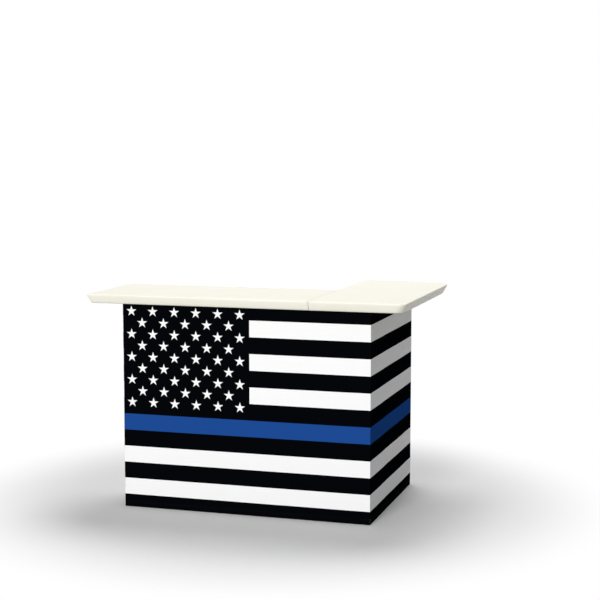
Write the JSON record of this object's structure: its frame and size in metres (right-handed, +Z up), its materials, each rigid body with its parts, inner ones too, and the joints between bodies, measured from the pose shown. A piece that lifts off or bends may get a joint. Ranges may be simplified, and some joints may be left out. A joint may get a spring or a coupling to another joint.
{
  "type": "portable bar",
  "caption": "L-shaped portable bar: moulded counter panels on a folding scissor frame, with a printed fabric skirt and shelf boards.",
  "frame": {"origin": "on the ground, under the middle of the counter's bounding box", "axes": "+X along the front to the viewer's right, +Y from the front to the back, +Z up"},
  "size_m": [1.5826, 1.055, 1.067],
  "materials": {
    "counter_plastic": "blow-moulded polyethylene, satin",
    "shelf_board": "moulded polyethylene board, satin",
    "skirt_fabric": "printed woven polyester",
    "hook_tape": "nylon hook tape",
    "black_nylon": "moulded nylon",
    "knob_plastic": "moulded, textured",
    "zinc_plate": "zinc plated, turned",
    "bar_steel": "powder coated steel strip",
    "hub_steel": "powder coated steel",
    "frame_steel": "powder coated steel tube"
  },
  "bodies": {
    "root": {"corner_front_left_post": "frame_steel", "corner_front_right_post": "frame_steel", "corner_rear_left_post": "frame_steel", "corner_rear_right_post": "frame_steel", "corner_left_rails": "frame_steel", "corner_right_rails": "frame_steel", "corner_front_rails": "frame_steel", "corner_rear_rails": "frame_steel", "corner_feet": "black_nylon", "corner_front_hub": "hub_steel", "corner_rear_hub": "hub_steel", "corner_hook_strips": "hook_tape", "seam_plate": "frame_steel", "seam_pegs": "zinc_plate"},
    "right_bay_near_bar": {"right_bay_near_bar": "bar_steel", "right_bay_pin": "zinc_plate"},
    "right_bay_far_bar": {"right_bay_far_bar": "bar_steel"},
    "corner_front_slider": {"corner_front_slider": "black_nylon"},
    "front_clamp_knob": {"front_clamp_knob": "knob_plastic"},
    "mid_slider": {"mid_slider": "black_nylon"},
    "mid_frame": {"mid_front_post": "frame_steel", "mid_rear_post": "frame_steel", "mid_rails": "frame_steel", "mid_feet": "black_nylon", "mid_hub": "hub_steel", "mid_hook_strips": "hook_tape"},
    "left_bay_near_bar": {"left_bay_near_bar": "bar_steel", "left_bay_pin": "zinc_plate"},
    "left_bay_far_bar": {"left_bay_far_bar": "bar_steel"},
    "left_slider": {"left_slider": "black_nylon"},
    "left_frame": {"left_front_post": "frame_steel", "left_rear_post": "frame_steel", "left_rails": "frame_steel", "left_feet": "black_nylon", "left_hub": "hub_steel", "left_hook_strips": "hook_tape"},
    "return_near_bar": {"return_near_bar": "bar_steel", "return_pin": "zinc_plate"},
    "return_far_bar": {"return_far_bar": "bar_steel"},
    "corner_rear_slider": {"corner_rear_slider": "black_nylon"},
    "return_clamp_knob": {"return_clamp_knob": "knob_plastic"},
    "return_end_slider": {"return_end_slider": "black_nylon"},
    "return_end_frame": {"return_inner_post": "frame_steel", "return_outer_post": "frame_steel", "return_end_rails": "frame_steel", "return_feet": "black_nylon", "return_end_hub": "hub_steel", "return_hook_strips": "hook_tape"},
    "front_top": {"front_top": "counter_plastic"},
    "return_top": {"return_top": "counter_plastic"},
    "front_upper_shelf": {"front_upper_shelf": "shelf_board"},
    "front_lower_shelf": {"front_lower_shelf": "shelf_board"},
    "return_upper_shelf": {"return_upper_shelf": "shelf_board"},
    "return_lower_shelf": {"return_lower_shelf": "shelf_board"},
    "front_skirt": {"front_skirt_panel": "skirt_fabric", "left_skirt_panel": "skirt_fabric"},
    "side_skirt": {"right_skirt_panel": "skirt_fabric", "end_skirt_panel": "skirt_fabric"}
  },
  "joints": [
    {"name": "front_fold", "type": "hinge", "parent": "root", "child": "right_bay_near_bar", "pos_m": [0.329, -0.3815, 0.955], "axis": [0, -1, 0], "range_deg": [0, 42]},
    {"name": "right_bay_cross", "type": "hinge", "parent": "right_bay_near_bar", "child": "right_bay_far_bar", "pos_m": [0.08905, -0.3769, 0.745], "axis": [0, -1, 0], "range_deg": [-84, 0]},
    {"name": "mid_hub_pivot", "type": "hinge", "parent": "right_bay_far_bar", "child": "mid_frame", "pos_m": [-0.1509, -0.3769, 0.955], "axis": [0, -1, 0], "range_deg": [0, 42]},
    {"name": "corner_front_slider_pivot", "type": "hinge", "parent": "right_bay_far_bar", "child": "corner_front_slider", "pos_m": [0.329, -0.3769, 0.535], "axis": [0, -1, 0], "range_deg": [0, 42]},
    {"name": "mid_slider_pivot", "type": "hinge", "parent": "right_bay_near_bar", "child": "mid_slider", "pos_m": [-0.1509, -0.3815, 0.535], "axis": [0, -1, 0], "range_deg": [-42, 0]},
    {"name": "left_bay_pivot", "type": "hinge", "parent": "mid_frame", "child": "left_bay_near_bar", "pos_m": [-0.1509, -0.3815, 0.955], "axis": [0, -1, 0], "range_deg": [0, 42]},
    {"name": "left_bay_cross", "type": "hinge", "parent": "left_bay_near_bar", "child": "left_bay_far_bar", "pos_m": [-0.39085, -0.3769, 0.745], "axis": [0, -1, 0], "range_deg": [-84, 0]},
    {"name": "left_hub_pivot", "type": "hinge", "parent": "left_bay_far_bar", "child": "left_frame", "pos_m": [-0.6308, -0.3769, 0.955], "axis": [0, -1, 0], "range_deg": [0, 42]},
    {"name": "left_slider_pivot", "type": "hinge", "parent": "left_bay_near_bar", "child": "left_slider", "pos_m": [-0.6308, -0.3815, 0.535], "axis": [0, -1, 0], "range_deg": [-42, 0]},
    {"name": "return_fold", "type": "hinge", "parent": "root", "child": "return_near_bar", "pos_m": [0.5663, -0.086, 0.955], "axis": [-1, 0, 0], "range_deg": [0, 42]},
    {"name": "return_cross", "type": "hinge", "parent": "return_near_bar", "child": "return_far_bar", "pos_m": [0.5617, 0.17, 0.745], "axis": [-1, 0, 0], "range_deg": [-84, 0]},
    {"name": "return_end_hub_pivot", "type": "hinge", "parent": "return_far_bar", "child": "return_end_frame", "pos_m": [0.5617, 0.426, 0.955], "axis": [-1, 0, 0], "range_deg": [0, 42]},
    {"name": "corner_rear_slider_pivot", "type": "hinge", "parent": "return_far_bar", "child": "corner_rear_slider", "pos_m": [0.5617, -0.086, 0.535], "axis": [-1, 0, 0], "range_deg": [0, 42]},
    {"name": "return_end_slider_pivot", "type": "hinge", "parent": "return_near_bar", "child": "return_end_slider", "pos_m": [0.5663, 0.426, 0.535], "axis": [-1, 0, 0], "range_deg": [-42, 0]},
    {"name": "front_clamp_turn", "type": "hinge", "parent": "corner_front_slider", "child": "front_clamp_knob", "pos_m": [0.356, -0.401, 0.535], "axis": [1, 0, 0], "range_deg": [0, 180]},
    {"name": "return_clamp_turn", "type": "hinge", "parent": "corner_rear_slider", "child": "return_clamp_knob", "pos_m": [0.5858, -0.059, 0.535], "axis": [0, 1, 0], "range_deg": [0, 180]},
    {"name": "front_top_lift", "type": "slide", "parent": "root", "child": "front_top", "axis": [0, 0, 1], "range_m": [0, 0.25]},
    {"name": "return_top_lift", "type": "slide", "parent": "root", "child": "return_top", "axis": [0, 0, 1], "range_m": [0, 0.25]},
    {"name": "front_upper_shelf_lift", "type": "slide", "parent": "root", "child": "front_upper_shelf", "axis": [0, 0, 1], "range_m": [0, 0.2]},
    {"name": "front_lower_shelf_lift", "type": "slide", "parent": "root", "child": "front_lower_shelf", "axis": [0, 0, 1], "range_m": [0, 0.2]},
    {"name": "return_upper_shelf_lift", "type": "slide", "parent": "root", "child": "return_upper_shelf", "axis": [0, 0, 1], "range_m": [0, 0.2]},
    {"name": "return_lower_shelf_lift", "type": "slide", "parent": "root", "child": "return_lower_shelf", "axis": [0, 0, 1], "range_m": [0, 0.2]},
    {"name": "front_skirt_pull", "type": "slide", "parent": "root", "child": "front_skirt", "axis": [0, -1, 0], "range_m": [0, 0.15]},
    {"name": "side_skirt_pull", "type": "slide", "parent": "root", "child": "side_skirt", "axis": [1, 0, 0], "range_m": [0, 0.15]}
  ],
  "couplings": [
    {"joint": "right_bay_cross", "follows": "front_fold", "ratio": -2},
    {"joint": "mid_hub_pivot", "follows": "front_fold", "ratio": 1},
    {"joint": "corner_front_slider_pivot", "follows": "front_fold", "ratio": 1},
    {"joint": "mid_slider_pivot", "follows": "front_fold", "ratio": -1},
    {"joint": "left_bay_pivot", "follows": "front_fold", "ratio": 1},
    {"joint": "left_bay_cross", "follows": "front_fold", "ratio": -2},
    {"joint": "left_hub_pivot", "follows": "front_fold", "ratio": 1},
    {"joint": "left_slider_pivot", "follows": "front_fold", "ratio": -1},
    {"joint": "return_cross", "follows": "return_fold", "ratio": -2},
    {"joint": "return_end_hub_pivot", "follows": "return_fold", "ratio": 1},
    {"joint": "corner_rear_slider_pivot", "follows": "return_fold", "ratio": 1},
    {"joint": "return_end_slider_pivot", "follows": "return_fold", "ratio": -1}
  ]
}
